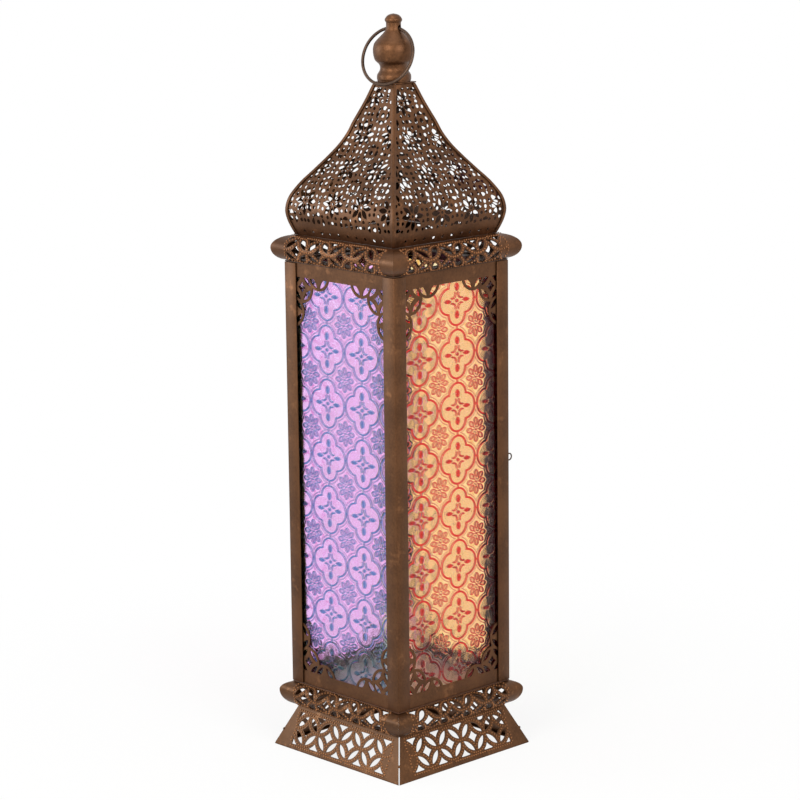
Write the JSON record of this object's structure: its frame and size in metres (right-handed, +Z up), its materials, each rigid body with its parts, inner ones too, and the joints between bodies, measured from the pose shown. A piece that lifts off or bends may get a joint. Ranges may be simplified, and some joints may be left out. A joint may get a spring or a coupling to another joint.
{
  "type": "lantern floor lamp",
  "caption": "Standing square lantern lamp with pressed-glass panes, a hinged door, an ogee dome, a pierced skirt and a hanging ring.",
  "frame": {"origin": "middle of the square that the skirt stands on, at floor level", "axes": "+Z up, +Y out through the door, and the two fixed panes seen in the picture face -Y and +X"},
  "size_m": [0.1874, 0.1874, 0.75],
  "materials": {
    "bronze_finish": "satin antique bronze finish on steel sheet",
    "dark_bronze_finish": "satin dark bronze finish on steel sheet",
    "dark_wire": "satin dark bronze finish on steel wire",
    "zinc_sheet": "zinc-plated steel sheet",
    "steel": "plain zinc-plated steel",
    "porcelain": "glazed porcelain",
    "black_plastic": "matt moulded plastic",
    "clear_glass": "clear blown glass with a metal cap",
    "turquoise_glass": "pressed pattern, translucent turquoise",
    "rose_glass": "pressed pattern, translucent rose",
    "magenta_glass": "pressed pattern, translucent magenta",
    "amber_glass": "pressed pattern, translucent amber"
  },
  "bodies": {
    "lantern": {"skirt_front": "bronze_finish", "skirt_right": "bronze_finish", "skirt_back": "bronze_finish", "skirt_left": "bronze_finish", "lower_collar_front": "dark_bronze_finish", "lower_collar_right": "dark_bronze_finish", "lower_collar_back": "dark_bronze_finish", "lower_collar_left": "dark_bronze_finish", "upper_collar_front": "bronze_finish", "upper_collar_right": "bronze_finish", "upper_collar_back": "bronze_finish", "upper_collar_left": "bronze_finish", "roof_frame": "dark_bronze_finish", "back_lintel": "dark_bronze_finish", "back_sill": "dark_bronze_finish", "floor_plate": "zinc_sheet", "post_front_left": "bronze_finish", "post_front_right": "bronze_finish", "post_back_right": "bronze_finish", "post_back_left": "bronze_finish", "top_rail_front": "bronze_finish", "bottom_rail_front": "bronze_finish", "top_rail_right": "bronze_finish", "bottom_rail_right": "bronze_finish", "top_rail_left": "bronze_finish", "bottom_rail_left": "bronze_finish", "glass_front": "turquoise_glass", "glass_right": "rose_glass", "glass_left": "magenta_glass", "glass_keeper_front_left": "dark_bronze_finish", "glass_keeper_front_right": "dark_bronze_finish", "glass_keeper_back_right": "dark_bronze_finish", "glass_keeper_back_left": "dark_bronze_finish", "lower_hinge_post_leaf": "bronze_finish", "upper_hinge_post_leaf": "bronze_finish", "lower_hinge_pin": "steel", "upper_hinge_pin": "steel", "finial_nut": "steel", "lampholder_nut": "steel", "dome_front": "bronze_finish", "dome_right": "bronze_finish", "dome_back": "bronze_finish", "dome_left": "bronze_finish", "dome_hip_front_left": "bronze_finish", "dome_hip_front_right": "bronze_finish", "dome_hip_back_right": "bronze_finish", "dome_hip_back_left": "bronze_finish", "dome_cap": "bronze_finish", "finial": "bronze_finish", "lampholder": "porcelain", "bulb": "clear_glass", "lead_bush": "black_plastic"},
    "door": {"door_frame": "bronze_finish", "door_glass": "amber_glass", "door_channel_hinge_side": "dark_bronze_finish", "door_channel_latch_side": "dark_bronze_finish", "lower_hinge_door_leaf": "bronze_finish", "upper_hinge_door_leaf": "bronze_finish"},
    "latch": {"latch": "dark_wire"},
    "ring": {"hanging_ring": "dark_wire"}
  },
  "joints": [
    {"name": "door_hinge", "type": "hinge", "parent": "lantern", "child": "door", "pos_m": [-0.07285, 0.0815, 0.287], "axis": [0, 0, 1], "range_deg": [0, 110]},
    {"name": "latch_turn", "type": "hinge", "parent": "door", "child": "latch", "pos_m": [0.0693, 0.079, 0.3], "axis": [0, -1, 0], "range_deg": [0, 90]},
    {"name": "ring_swing", "type": "hinge", "parent": "lantern", "child": "ring", "pos_m": [0, 0, 0.7362], "axis": [-0.9781, -0.2079, 0], "range_deg": [0, 316]}
  ]
}
